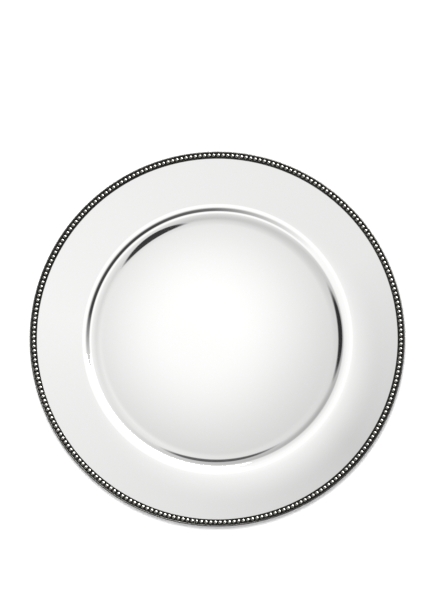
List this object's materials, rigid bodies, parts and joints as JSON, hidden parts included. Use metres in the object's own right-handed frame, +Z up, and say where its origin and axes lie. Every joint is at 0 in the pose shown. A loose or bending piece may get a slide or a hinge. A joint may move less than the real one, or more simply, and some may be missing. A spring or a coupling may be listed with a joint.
{
  "type": "round charger plate",
  "caption": "Round silver-plated charger with a shallow flat well, a broad gently rising rim and a bead border, for setting under a dinner plate or serving from.",
  "frame": {"origin": "centre of the flat underside that the charger stands on", "axes": "+Z up along the axis of the dish, from the underside to the bead border; +X to the right and +Y away when the well is seen from above"},
  "size_m": [0.32, 0.32, 0.0164],
  "materials": {
    "polished_silver": "mirror polished silver plate with fine handling scratches",
    "border_silver": "polished bead and reed border, oxidised dark in its recesses",
    "solder": "dull plated solder"
  },
  "bodies": {
    "root": {"dish": "polished_silver", "edge_moulding": "border_silver", "inner_reed": "border_silver", "bead_strip_1": "border_silver", "bead_strip_2": "border_silver", "bead_strip_3": "border_silver", "bead_strip_4": "border_silver", "seat_solder": "solder", "butt_solder": "solder", "edge_solder": "solder"}
  },
  "joints": []
}
